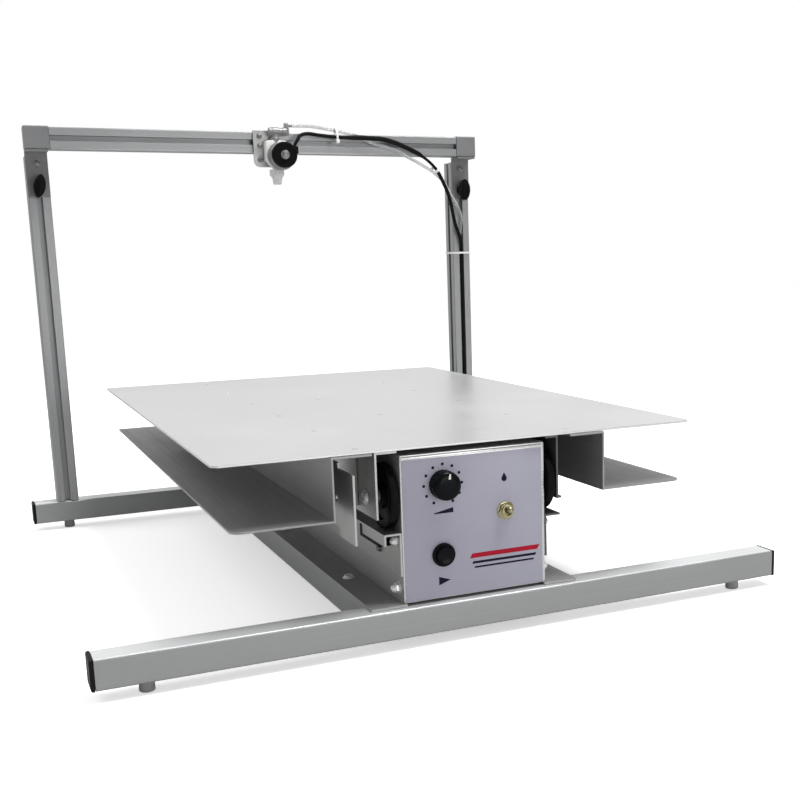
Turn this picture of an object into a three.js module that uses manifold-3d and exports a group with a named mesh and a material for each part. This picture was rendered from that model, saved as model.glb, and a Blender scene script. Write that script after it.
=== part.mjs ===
// Spray pretreatment machine: a platen on a rolling carriage passes under a spray head that hangs from a
// height-adjustable gantry. Millimetres, +Z up, +Y to the back, +X to the right. The origin is the bottom
// centre of the bounding box. Depths (y) are counted from the front face of the front crossbar while the
// machine is assembled, and the whole machine is centred at the end.
import * as THREE from 'three';
import { mergeVertices } from 'three/addons/utils/BufferGeometryUtils.js';
import Module from 'manifold-3d';

const wasm = await Module();
wasm.setup();

// ---- driving dimensions -------------------------------------------------------------------------
const GAP = 0.3;                 // clearance between touching pieces
const TUBE = 25.4;               // one-inch square tube and one-inch T-slot profile
const TUBE_WALL = 1.8;
const FOOT_HEIGHT = 10;
const FOOT_RADIUS = 6.35;
const FOOT_INSET = 281;          // foot centre from the middle of the bar
const BAR_HALF = 320;            // half length of the front and rear crossbars
const BAR_TOP = FOOT_HEIGHT + TUBE;
const REAR_Y = 631.5;            // front face of the rear crossbar and of the posts
const CAP_THICK = 3.2;
const CAP_PLUG = 11;

const CHASSIS_X = 2.5;           // the chassis sits slightly right of the frame's middle
const SHEET = 2;                 // folded sheet metal
const WALL_HALF = 68;            // outer face of the chassis walls from the chassis centre
const FLANGE_HALF = 98.5;
const CHASSIS_TOP = 166;
const CHASSIS_FRONT = 11;
const CHASSIS_BACK = 648;
const WEB_SLOT = { half: 4.5, front: 60, back: 480 };
const BASE_TUBE_OUTER = 97;
const PANEL_FRONT = 8.7;
const PANEL_BOTTOM = 38;
const SPEED = { x: -29.4, z: 138, r: 15.5, tall: 12.5 };
const START = { x: -30.8, z: 76.5, r: 10.3 };
const PRIME = { x: 29.3, z: 108.7, r: 5.7 };

const RAIL = { edge: 84, top: 100, bottom: 62, front: 9, back: 640, t: 1.8, lip: 10, lipBack: 65 };
const WHEEL = { r: 28.7, bore: 4.06, stud: 4, inner: 70.3, outer: 78.3, y: [34, 244] };
const SLIDE_PLATE = { left: 88, right: 80.5, front: 9, back: 268, bottom: 113.5, top: 170.7, lip: 5 };
const STOP = { x: -112, front: 1, step: 40, back: 56, high: 155, low: 96 };
const PLATEN = { half: 223.5, front: 7, back: 652, bottom: 171, thick: 2, corner: 5 };
const SIDE = {
  wall: 128, inner: 93, tray: 212, front: 5, back: 655, bottom: 116.7, top: 170.7, t: 1.8, corner: 10,
};

const BELT = { z: 141, front: 50, back: 520, r: 8, rim: 10, width: 6.4, thick: 1.5 };
const SHAFT = { r: 2.5, bore: 2.58 };

const GANTRY_X = -4;             // the gantry is bolted slightly left of the frame's middle
const POST_X = 277;
const POST_TOP = 458;
const BEAM_BOTTOM = 464;
const BEAM_FRONT = REAR_Y - GAP - TUBE;
const BEAM_HALF = 261.9;
const BLOCK_HALF = 290;
const CLAMP_Z = { left: 422, right: 420 };
const CLAMP_STUD = 2.9;
const KNOB_TILT = THREE.MathUtils.degToRad(12);
const BRACKET = { bottom: 410, thick: 2.5, half: 12.7, hole: 3.3 };
const HEAD_X = 2;                // spray axis
const COIL = { x: 6.4, z: 458.5, r: 15.8, front: 565, back: 585.7 };
const NOZZLE = { y: 594, bottom: 424, top: 442.6 };

const HOSE_R = 2;
const CABLE_R = 2.5;

// ---- finishes -----------------------------------------------------------------------------------
function finish(color, roughness, metalness) {
  return new THREE.MeshStandardMaterial({ color, roughness, metalness });
}
const anodised = () => finish(0xb9babb, 0.42, 0.85);
const satinSheet = () => finish(0xd2d4d2, 0.4, 0.8);
const greySheet = () => finish(0xa3a5a6, 0.45, 0.8);
const zinc = () => finish(0xc4c5c3, 0.35, 0.9);
const castGrey = () => finish(0x8d8e90, 0.55, 0.5);
const blackPlastic = () => finish(0x101112, 0.45, 0);
const whitePlastic = () => finish(0xe9e9e7, 0.4, 0);
const brass = () => finish(0xc2a75a, 0.3, 0.9);

// ---- solid helpers ------------------------------------------------------------------------------
function box(x0, x1, y0, y1, z0, z1) {
  const g = new THREE.BoxGeometry(Math.abs(x1 - x0), Math.abs(y1 - y0), Math.abs(z1 - z0));
  return g.translate((x0 + x1) / 2, (y0 + y1) / 2, (z0 + z1) / 2);
}

const turnTo = {
  x: (g) => g.rotateZ(-Math.PI / 2),
  y: (g) => g,
  z: (g) => g.rotateX(Math.PI / 2),
};

// Cylinder of radius r with its axis along x, y or z, from a to b along that axis.
function rod(axis, r, a, b, u, v, sides = 24) {
  const g = turnTo[axis](new THREE.CylinderGeometry(r, r, b - a, sides));
  const mid = (a + b) / 2;
  if (axis === 'x') return g.translate(mid, u, v);
  if (axis === 'y') return g.translate(u, mid, v);
  return g.translate(u, v, mid);
}

// Solid of revolution; profile points are [radius, distance along the axis].
function turned(axis, profile, sides = 24) {
  const g = new THREE.LatheGeometry(profile.map(([r, h]) => new THREE.Vector2(r, h)), sides);
  if (axis === 'x') return g.rotateZ(-Math.PI / 2);
  return axis === 'z' ? g.rotateX(Math.PI / 2) : g;
}

const polygon = (points) => new THREE.Shape(points.map(([x, y]) => new THREE.Vector2(x, y)));

// Shape drawn in (x, z) and pushed along y, or in (y, z) and pushed along x, or in (x, y) and pushed along z.
function pushed(axis, shape, a, b, curveSegments = 6) {
  const g = new THREE.ExtrudeGeometry(shape, { depth: b - a, bevelEnabled: false, curveSegments });
  if (axis === 'z') return g.translate(0, 0, a);
  if (axis === 'y') return g.rotateX(Math.PI / 2).translate(0, b, 0);
  return g.rotateX(Math.PI / 2).rotateZ(Math.PI / 2).translate(a, 0, 0);
}

function toSolid(geometry) {
  const g = geometry.clone();
  g.deleteAttribute('normal');
  g.deleteAttribute('uv');
  const merged = mergeVertices(g, 1e-4);
  return new wasm.Manifold(new wasm.Mesh({
    numProp: 3,
    vertProperties: new Float32Array(merged.attributes.position.array),
    triVerts: new Uint32Array(merged.index.array),
  }));
}

function toGeometry(solid) {
  const mesh = solid.getMesh();
  const g = new THREE.BufferGeometry();
  g.setAttribute('position', new THREE.BufferAttribute(mesh.vertProperties, 3));
  g.setIndex(new THREE.BufferAttribute(mesh.triVerts, 1));
  g.computeVertexNormals();
  return g;
}

const join = (...parts) => toGeometry(parts.map(toSolid).reduce((a, b) => a.add(b)));
const cut = (body, ...tools) => toGeometry(tools.map(toSolid).reduce((a, b) => a.subtract(b), toSolid(body)));

function piece(group, name, geometry, material) {
  const mesh = new THREE.Mesh(geometry, material);
  mesh.name = name;
  group.add(mesh);
  return mesh;
}

const sideName = (side) => (side < 0 ? 'left' : 'right');

// ---- profiles -----------------------------------------------------------------------------------
// One-inch T-slot section with four slots and a centre bore.
function tSlotSection() {
  const H = TUBE / 2;
  const slot = { mouth: 3.3, lip: 2.2, cavity: 6.3, shoulder: 4.2, floorHalf: 3.4, depth: 7.5, corner: 1 };
  const oneSide = [
    [H - slot.corner, H], [slot.mouth, H], [slot.mouth, H - slot.lip], [slot.cavity, H - slot.lip],
    [slot.cavity, H - slot.shoulder], [slot.floorHalf, H - slot.depth], [-slot.floorHalf, H - slot.depth],
    [-slot.cavity, H - slot.shoulder], [-slot.cavity, H - slot.lip], [-slot.mouth, H - slot.lip],
    [-slot.mouth, H], [-H + slot.corner, H],
  ];
  const outline = [];
  for (let quarter = 0; quarter < 4; quarter += 1) {
    for (const [x, y] of oneSide) {
      const c = [1, 0, -1, 0][quarter];
      const s = [0, 1, 0, -1][quarter];
      outline.push([x * c - y * s, x * s + y * c]);
    }
  }
  const section = polygon(outline);
  const bore = new THREE.Path();
  bore.absarc(0, 0, 2.6, 0, 2 * Math.PI, true);
  section.holes.push(bore);
  return section;
}

// Square tube section with slightly rounded outside corners.
function tubeSection() {
  const H = TUBE / 2;
  const r = 1.2;
  const inner = H - TUBE_WALL;
  const section = polygon([
    [-H + r, -H], [H - r, -H], [H, -H + r], [H, H - r], [H - r, H], [-H + r, H], [-H, H - r], [-H, -H + r],
  ]);
  section.holes.push(polygon([[-inner, -inner], [-inner, inner], [inner, inner], [inner, -inner]]));
  return section;
}

// ---- base frame ---------------------------------------------------------------------------------
function crossbar(y0) {
  return pushed('x', tubeSection(), -BAR_HALF, BAR_HALF).translate(0, y0 + TUBE / 2, FOOT_HEIGHT + TUBE / 2);
}

function endCap(side, y0) {
  const H = TUBE / 2;
  const plug = H - TUBE_WALL - GAP;
  const start = BAR_HALF + GAP;
  const edge = 1.4;
  const head = new THREE.ExtrudeGeometry(polygon([[-H + edge, -H + edge], [H - edge, -H + edge],
    [H - edge, H - edge], [-H + edge, H - edge]]), {
    depth: CAP_THICK - edge, bevelEnabled: true, bevelThickness: edge, bevelSize: edge, bevelSegments: 2,
  });
  head.rotateY(side * Math.PI / 2).translate(side * start, y0 + H, FOOT_HEIGHT + H);
  const mid = [y0 + H, FOOT_HEIGHT + H];
  const stem = box(side * (start - CAP_PLUG), side * (start + 1), mid[0] - plug, mid[0] + plug,
    mid[1] - plug, mid[1] + plug);
  const keep = box(side * start, side * (start + CAP_THICK + 1), y0, y0 + TUBE, FOOT_HEIGHT, BAR_TOP);
  return toGeometry(toSolid(head).intersect(toSolid(keep)).add(toSolid(stem)));
}

function foot() {
  const top = FOOT_HEIGHT - GAP;
  const r = FOOT_RADIUS;
  return turned('z', [[0, 0], [r - 0.8, 0], [r, 0.8], [r - 0.4, top], [0, top]], 20);
}

function baseFrame(frame) {
  const bars = { front: 0, rear: REAR_Y };
  for (const [name, y0] of Object.entries(bars)) {
    piece(frame, `${name}_crossbar`, crossbar(y0), anodised());
    for (const side of [-1, 1]) {
      piece(frame, `${name}_cap_${sideName(side)}`, endCap(side, y0), blackPlastic());
      const pad = piece(frame, `${name}_foot_${sideName(side)}`, foot(), finish(0x8b8c8c, 0.8, 0));
      pad.position.set(side * FOOT_INSET, y0 + TUBE / 2, 0);
    }
  }
}

function baseTube(side) {
  const length = [TUBE + GAP, REAR_Y - GAP];
  return pushed('y', tubeSection(), length[0], length[1])
    .translate(side * (BASE_TUBE_OUTER - TUBE / 2), 0, FOOT_HEIGHT + TUBE / 2);
}

// ---- chassis ------------------------------------------------------------------------------------
// Hat channel: flanges on the base tubes, two walls and a web with a slot for the belt clamp.
function chassisChannel() {
  const low = BAR_TOP + GAP;
  const wall = [WALL_HALF - SHEET, WALL_HALF];
  const lip = PANEL_FRONT - 2.1;
  const [front, back, top] = [CHASSIS_FRONT, CHASSIS_BACK, CHASSIS_TOP];
  const flanges = [-1, 1].map((s) => box(s * wall[0], s * FLANGE_HALF, lip, back, low, low + SHEET));
  const walls = [-1, 1].map((s) => box(s * wall[0], s * wall[1], front, back, low, top));
  const web = box(-WALL_HALF, WALL_HALF, front, back, top - SHEET, top);
  const { half, front: slotFront, back: slotBack } = WEB_SLOT;
  const slot = box(-half, half, slotFront, slotBack, top - 9, top + 9);
  const cableHole = rod('x', CABLE_R + 2.5, WALL_HALF - 9, WALL_HALF + 9, 600, 52);
  const hoseHole = rod('x', HOSE_R + 2.5, WALL_HALF - 9, WALL_HALF + 9, 615, 52);
  return cut(join(...flanges, ...walls, web), slot, cableHole, hoseHole);
}

function frontPanel() {
  const back = CHASSIS_FRONT - GAP;
  const depth = [PANEL_FRONT, back];
  const plate = box(-WALL_HALF, WALL_HALF, depth[0], depth[1], PANEL_BOTTOM, CHASSIS_TOP);
  const through = (c, r) => rod('y', r, depth[0] - 5, depth[1] + 5, c.x, c.z);
  return cut(plate, through(SPEED, 4), through(START, 9.3), through(PRIME, PRIME.r + 0.4));
}

function rearCover() {
  const y = CHASSIS_BACK + GAP;
  const plate = box(-WALL_HALF, WALL_HALF, y, y + SHEET, BAR_TOP + 4, CHASSIS_TOP);
  return cut(plate, rod('y', 6.3, y - 5, y + 5, 35, 60));
}

// Panel-mounted supply socket with an open mouth at the back.
function powerInlet() {
  const out = CHASSIS_BACK + 2 * GAP + SHEET;
  const shell = turned('y', [[0, out - 15], [6, out - 15], [6, out], [8, out], [8, out + 2.4], [4, out + 2.4],
    [4, out - 9], [1, out - 9], [1, out], [0, out]], 20);
  return shell.translate(35, 0, 60);
}

// Angle rail screwed to the chassis wall; the carriage wheels roll on its level flange. The left one has a
// short turned-down lip at the front that guards the home switch.
function guideRail(side) {
  const back = WALL_HALF + GAP;
  const { t, edge, top, bottom, front, lip, lipBack } = RAIL;
  const section = [
    [back, bottom], [back + t, bottom], [back + t, top - t], [edge, top - t], [edge, top], [back, top],
  ];
  const rail = pushed('y', polygon(section.map(([x, z]) => [side * x, z])), front, RAIL.back);
  if (side > 0) return rail;
  return join(rail, box(-edge + t, -edge, front, lipBack, top - lip, top));
}

// Home-position switch under the left rail's flange.
function homeSwitch() {
  const x = [-WALL_HALF - GAP - RAIL.t - GAP, -RAIL.edge + RAIL.t + 0.7];
  const top = RAIL.top - RAIL.t - GAP;
  const body = box(x[0], x[1], 30, 80, top - 13, top);
  const plunger = rod('y', 2, 25, 31, (x[0] + x[1]) / 2, top - 6, 12);
  return join(body, plunger);
}

// ---- controls -----------------------------------------------------------------------------------
function speedKnob() {
  const face = PANEL_FRONT - 0.6;
  const front = face - SPEED.tall;
  const { r } = SPEED;
  return turned('y', [[0, front], [r - 3.4, front], [r - 2.2, front + 1.2], [r - 1.2, face - 2.4],
    [r, face - 1.6], [r, face], [3, face], [3, 20], [0, 20]], 32);
}

function potentiometer() {
  const y = CHASSIS_FRONT;
  const profile = [[3.1, y], [8.5, y], [8.5, y + 12], [0, y + 12], [0, y + 10], [3.1, y + 10], [3.1, y]];
  return turned('y', profile, 24);
}

function startSwitch() {
  const face = PANEL_FRONT - GAP;
  return turned('y', [[7.9, face - 2.2], [START.r, face - 2.2], [START.r, face], [9, face], [9, 27], [0, 27],
    [0, 21], [7.9, 21], [7.9, face - 2.2]], 32);
}

function startButton() {
  return turned('y', [[0, 3.2], [6.6, 3.2], [7.7, 4.2], [7.7, 14], [0, 14]], 32);
}

function primeSwitch() {
  const { x, z, r } = PRIME;
  const back = CHASSIS_FRONT;
  const body = box(x - 6.5, x + 6.5, back, back + 15, z - 10, z + 10);
  const bushing = rod('y', r, 3.2, back + 1, x, z);
  return cut(join(body, bushing), rod('y', 4.4, 0, 13, x, z));
}

function primeNut() {
  const { x, z, r } = PRIME;
  const face = PANEL_FRONT - GAP;
  return cut(rod('y', 7.8, face - 3.2, face, x, z, 6), rod('y', r + GAP, 0, 20, x, z));
}

// Bat-shaped lever; its pivot is the local origin and it points to the front.
function primeLever() {
  return turned('y', [[0, -11.2], [2, -10.8], [2.9, -9.6], [2.8, -7.6], [1.9, -3], [3, -1.6], [3.2, 0.5],
    [2, 2.4], [0, 2.8]], 16);
}

function controls(chassis) {
  const at = (mesh, c) => mesh.position.set(c.x, 0, c.z);
  at(piece(chassis, 'speed_potentiometer', potentiometer(), castGrey()), SPEED);
  at(piece(chassis, 'speed_knob', speedKnob(), blackPlastic()), SPEED);
  at(piece(chassis, 'start_switch_body', startSwitch(), blackPlastic()), START);
  at(piece(chassis, 'start_button', startButton(), finish(0x0b0b0c, 0.35, 0)), START);
  piece(chassis, 'prime_switch_body', primeSwitch(), brass());
  piece(chassis, 'prime_nut', primeNut(), brass());
  const lever = piece(chassis, 'prime_lever', primeLever(), brass());
  lever.position.set(PRIME.x, 7.5, PRIME.z);
  lever.rotation.x = -THREE.MathUtils.degToRad(12);
}

// ---- drive and fluid parts inside the chassis -----------------------------------------------------
function toothedPulley(y) {
  const { r, rim } = BELT;
  const { bore } = SHAFT;
  const profile = [
    [bore, -5], [rim, -5], [rim, -4], [r, -4], [r, 4], [rim, 4], [rim, 5], [bore, 5], [bore, -5],
  ];
  return turned('x', profile).translate(0, y, BELT.z);
}

function timingBelt() {
  const loop = (r) => {
    const path = new THREE.Path();
    path.absarc(BELT.back, BELT.z, r, -Math.PI / 2, Math.PI / 2, false);
    path.absarc(BELT.front, BELT.z, r, Math.PI / 2, 1.5 * Math.PI, false);
    return path.getPoints(8).filter((p, i, all) => i === 0 || p.distanceTo(all[i - 1]) > 1e-6);
  };
  const inner = BELT.r + GAP;
  const section = new THREE.Shape(loop(inner + BELT.thick));
  section.holes.push(new THREE.Path(loop(inner)));
  return pushed('x', section, -BELT.width / 2, BELT.width / 2);
}

function driveMotor() {
  const face = 13.3;
  const half = 21;
  const c = 3;
  const [y, z] = [BELT.back, BELT.z];
  const section = polygon([[-half + c, -half], [half - c, -half], [half, -half + c], [half, half - c],
    [half - c, half], [-half + c, half], [-half, half - c], [-half, -half + c]]);
  const body = pushed('x', section, face, 61).translate(0, y, z);
  return join(body, rod('x', SHAFT.r, -6, face + 1, y, z));
}

function motorBracket() {
  const [y, z] = [BELT.back, BELT.z];
  const top = CHASSIS_TOP - SHEET - GAP;
  const plate = box(10.3, 13, y - 21, y + 21, z - 19, top);
  const flange = box(-14, 13, y - 21, y + 21, top - 2.5, top);
  return cut(join(plate, flange), rod('x', 3.5, 5, 20, y, z));
}

function idlerBracket() {
  const [y, z] = [BELT.front, BELT.z];
  const top = CHASSIS_TOP - SHEET - GAP;
  const ears = [-1, 1].map((s) => box(s * 6, s * 8, y - 8, y + 8, z - 7, top));
  const bridge = box(-8, 8, y - 8, y + 8, top - 2.5, top);
  return join(...ears, bridge, rod('x', SHAFT.r, -7, 7, y, z));
}

function fluidPump() {
  const [x, z] = [-44, 108];
  const head = box(x - 18, x + 18, 180, 215, z - 18, z + 18);
  const motor = rod('y', 13, 214, 270, x, z);
  const base = box(-WALL_HALF + SHEET + GAP, x, 190, 250, z - 8, z + 8);
  const outlet = rod('z', 2.6, z - 24, z - 17, x, 197, 16);
  return join(head, motor, base, outlet);
}

function internals(chassis) {
  piece(chassis, 'timing_belt', timingBelt(), finish(0x161616, 0.8, 0));
  piece(chassis, 'drive_pulley', toothedPulley(BELT.back), zinc());
  piece(chassis, 'idler_pulley', toothedPulley(BELT.front), zinc());
  piece(chassis, 'drive_motor', driveMotor(), finish(0x2a2b2d, 0.5, 0.4));
  piece(chassis, 'motor_bracket', motorBracket(), zinc());
  piece(chassis, 'idler_bracket', idlerBracket(), zinc());
  piece(chassis, 'fluid_pump', fluidPump(), finish(0x303134, 0.5, 0.1));
}

// ---- carriage -------------------------------------------------------------------------------------
function platen() {
  const { half, front, back, bottom, thick, corner: c } = PLATEN;
  const outline = polygon([[-half + c, front], [half - c, front], [half, front + c], [half, back - c],
    [half - c, back], [-half + c, back], [-half, back - c], [-half, front + c]]);
  return pushed('z', outline, bottom, bottom + thick);
}

// Folded bracket: flange under the platen, wall down, tray outwards with a rounded front corner.
function sideBracket(side) {
  const { wall, inner, tray, front, back, bottom, top, t, corner } = SIDE;
  const section = [[inner, top - t], [wall - t, top - t], [wall - t, bottom], [tray, bottom],
    [tray, bottom + t], [wall, bottom + t], [wall, top], [inner, top]];
  const bent = pushed('y', polygon(section.map(([x, z]) => [side * x, z])), front, back);
  const turn = { x: tray - corner, y: front + corner };
  const block = box(side * turn.x, side * (tray + 1), front - 1, turn.y, bottom - 5, top + 5);
  const round = rod('z', corner, bottom - 9, top + 9, side * turn.x, turn.y, 24);
  return cut(bent, cut(block, round));
}

// Sheet plate with a flange under the platen and the two wheel axles with their heads and spacers. The right
// one stands closer to the rail and has a lipped lower edge.
function slidePlate(side) {
  const { front, back, bottom, top, lip } = SLIDE_PLATE;
  const x = SLIDE_PLATE[sideName(side)];
  const web = box(side * x, side * (x + SHEET), front, back, bottom, top);
  const head = box(side * 70, side * (x + SHEET), front, back, top - SHEET, top);
  const z = RAIL.top + GAP + WHEEL.r;
  const along = (y, from, to, r, sides) => {
    const [a, b] = [side * from, side * to].sort((p, q) => p - q);
    return rod('x', r, a, b, y, z, sides);
  };
  const axles = WHEEL.y.flatMap((y) => [
    along(y, WHEEL.inner - 1, x + 1, WHEEL.stud, 24),
    along(y, WHEEL.inner - 1.7, WHEEL.inner - 0.4, 6.5, 16),
    along(y, WHEEL.outer + 0.4, x + 1, 6, 16),
  ]);
  const edge = side > 0 ? [box(x, x + lip, front, back, bottom, bottom + SHEET)] : [];
  return join(web, head, ...axles, ...edge);
}

// Plain wheel with a recessed hub; its axis is the local x axis through the origin.
function wheel() {
  const { r, bore, inner, outer } = WHEEL;
  const half = (outer - inner) / 2;
  return turned('x', [[bore, -half], [10, -half], [11, -half + 2], [20, -half + 2], [21, -half],
    [r - 1, -half], [r, -half + 1], [r, half - 1], [r - 1, half], [21, half], [20, half - 2], [11, half - 2],
    [10, half], [bore, half], [bore, -half]], 36);
}

// Folded stop bracket: a stepped outer leg with a hole, a rear web and a foot on the left slide plate.
function stopBracket() {
  const plate = -SLIDE_PLATE.left - SHEET - GAP;
  const { x, front, step, back, high, low } = STOP;
  const leg = box(x, x + SHEET, front, step + 1, low, high);
  const rearLeg = box(x, x + SHEET, step, back, low + 8, high + 5);
  const web = box(x, plate, back - SHEET, back, 118, high + 5);
  const foot = box(plate, plate - SHEET, back - SHEET, back + 19, 118, high + 5);
  return cut(join(leg, rearLeg, web, foot), rod('x', 3, x - 5, x + 5, 46.5, 128.5, 16));
}

// Clamp that grips the upper run of the belt and is screwed to the platen through the web slot.
function beltClamp() {
  const jaw = box(-6, 6, 72, 92, 144, 154.5);
  const neck = box(-3, 3, 72, 92, 154, 169);
  const pad = box(-14, 14, 68, 96, 168, SLIDE_PLATE.top);
  const upperRun = BELT.z + BELT.r + GAP;
  const half = BELT.width / 2 + GAP;
  return cut(join(jaw, neck, pad), box(-half, half, 60, 100, upperRun - GAP, upperRun + BELT.thick + GAP));
}

function carriage(chassis) {
  piece(chassis, 'platen', platen(), satinSheet());
  for (const side of [-1, 1]) {
    const name = sideName(side);
    piece(chassis, `${name}_side_bracket`, sideBracket(side), greySheet());
    piece(chassis, `${name}_slide_plate`, slidePlate(side), zinc());
    WHEEL.y.forEach((y, i) => {
      const rolling = piece(chassis, `${name}_wheel_${i + 1}`, wheel(), blackPlastic());
      rolling.position.set(side * (WHEEL.inner + WHEEL.outer) / 2, y, RAIL.top + GAP + WHEEL.r);
    });
  }
  piece(chassis, 'stop_bracket', stopBracket(), zinc());
  piece(chassis, 'belt_clamp', beltClamp(), zinc());
}

// ---- gantry ---------------------------------------------------------------------------------------
function post(side) {
  return pushed('z', tSlotSection(), BAR_TOP + GAP, POST_TOP).translate(side * POST_X, REAR_Y + TUBE / 2, 0);
}

function crossbeam() {
  const mid = TUBE / 2;
  return pushed('x', tSlotSection(), -BEAM_HALF, BEAM_HALF).translate(0, BEAM_FRONT + mid, BEAM_BOTTOM + mid);
}

function endBlock(side) {
  const c = 1;
  const y = [BEAM_FRONT - 0.9, REAR_Y - GAP];
  const z = [BEAM_BOTTOM, BEAM_BOTTOM + TUBE + 1];
  const section = polygon([[y[0] + c, z[0]], [y[1] - c, z[0]], [y[1], z[0] + c], [y[1], z[1] - c],
    [y[1] - c, z[1]], [y[0] + c, z[1]], [y[0], z[1] - c], [y[0], z[0] + c]]);
  const x = [side * (BEAM_HALF + GAP), side * BLOCK_HALF].sort((a, b) => a - b);
  return pushed('x', section, x[0], x[1]);
}

// Angle bracket: upright leg against the post, level leg under the beam end.
function clampBracket(side) {
  const x = side * POST_X;
  const { bottom, thick, half, hole } = BRACKET;
  const back = REAR_Y - GAP;
  const top = BEAM_BOTTOM - GAP;
  const upright = box(x - half, x + half, back - thick, back, bottom, top);
  const level = box(x - half, x + half, BEAM_FRONT, back, top - thick, top);
  return cut(join(upright, level), rod('y', hole, back - 9, back + 9, x, CLAMP_Z[sideName(side)]));
}

// Winged clamp knob with its stud; the axis is the local y axis.
function clampKnob() {
  const back = REAR_Y - 2 * GAP - BRACKET.thick;
  const half = { x: 6.8, z: 14 };
  const wing = new THREE.Shape();
  wing.absellipse(0, 0, half.x, half.z, 0, 2 * Math.PI, false, 0);
  const body = pushed('y', wing, back - 20, back, 7);
  return join(body, rod('y', CLAMP_STUD, back - 2, REAR_Y + 5, 0, 0, 16));
}

function gantry(frame) {
  for (const side of [-1, 1]) {
    const name = sideName(side);
    piece(frame, `${name}_post`, post(side), anodised());
    piece(frame, `${name}_end_block`, endBlock(side), castGrey());
    piece(frame, `${name}_clamp_bracket`, clampBracket(side), castGrey());
    const knob = piece(frame, `${name}_clamp_knob`, clampKnob(), blackPlastic());
    knob.position.set(side * POST_X, 0, CLAMP_Z[name]);
    knob.rotation.y = side < 0 ? KNOB_TILT : 0;
  }
  piece(frame, 'crossbeam', crossbeam(), anodised());
}

// ---- spray head -----------------------------------------------------------------------------------
function headBracket() {
  const y = [BEAM_FRONT - GAP - 3, BEAM_FRONT - GAP];
  const plate = new THREE.Shape();
  const [left, right, low, high, r] = [-24, 12, 446, 491, 8];
  plate.moveTo(left, high);
  plate.lineTo(left, low + r);
  plate.absarc(left + r, low + r, r, Math.PI, 1.5 * Math.PI, false);
  plate.absarc(right - r, low + r, r, 1.5 * Math.PI, 2 * Math.PI, false);
  plate.lineTo(right, high);
  return pushed('y', plate, y[0], y[1], 5);
}

function valveBody() {
  const x = HEAD_X;
  const body = box(x - 15, x + 13, 586, 602.4, 444, 478);
  const outlet = rod('z', 5, 434, 445, x, NOZZLE.y, 16);
  const inlet = rod('z', 5, 477, 483, x, NOZZLE.y, 16);
  const stem = rod('y', 4, COIL.front - 3, 587, COIL.x, COIL.z, 16);
  const flange = rod('y', 15.4, 586, 588.5, COIL.x, COIL.z, 32);
  return join(body, outlet, inlet, stem, flange);
}

function solenoidCoil() {
  const { r, front, back } = COIL;
  const profile = [[4.3, front], [r - 1.2, front], [r, front + 1.2], [r, back], [4.3, back], [4.3, front]];
  return turned('y', profile, 32).translate(COIL.x, 0, COIL.z);
}

// Nozzle cap screwed over the valve's outlet.
function sprayNozzle() {
  const { bottom, top } = NOZZLE;
  return turned('z', [[0, bottom], [5.2, bottom], [6, bottom + 7], [9, bottom + 12], [9, top], [5.3, top],
    [5.3, bottom + 9.5], [0, bottom + 9.5]], 24)
    .translate(HEAD_X, NOZZLE.y, 0);
}

// Fitting on the inlet: level body, upright stub and a barb to the right.
function hoseElbow() {
  const x = HEAD_X;
  const y = NOZZLE.y;
  const body = rod('x', 5.4, x - 8, x + 15, y, 489, 16);
  const stub = rod('z', 3.6, 485, 500, x + 15, y, 16);
  const barb = rod('x', 1.9, x + 15, x + 22, y, 496.5, 12);
  return join(body, stub, barb);
}

function sprayHead(frame) {
  piece(frame, 'head_bracket', headBracket(), finish(0xc7c8c8, 0.45, 0.7));
  piece(frame, 'valve_body', valveBody(), whitePlastic());
  piece(frame, 'solenoid_coil', solenoidCoil(), finish(0x0c0c0d, 0.5, 0));
  piece(frame, 'spray_nozzle', sprayNozzle(), finish(0xe4e6e6, 0.3, 0));
  piece(frame, 'hose_elbow', hoseElbow(), finish(0xa9aaab, 0.4, 0.4));
}

// ---- hose and cable ---------------------------------------------------------------------------------
// Round cord along a smooth curve through the points; x is counted from the frame's middle.
function cord(radius, points, steps) {
  const path = new THREE.CatmullRomCurve3(points.map((p) => new THREE.Vector3(...p)), false, 'centripetal');
  const section = new THREE.Shape();
  section.absarc(0, 0, radius, 0, 2 * Math.PI, false);
  const options = { steps, extrudePath: path, curveSegments: 4, bevelEnabled: false };
  return new THREE.ExtrudeGeometry(section, options);
}

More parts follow.
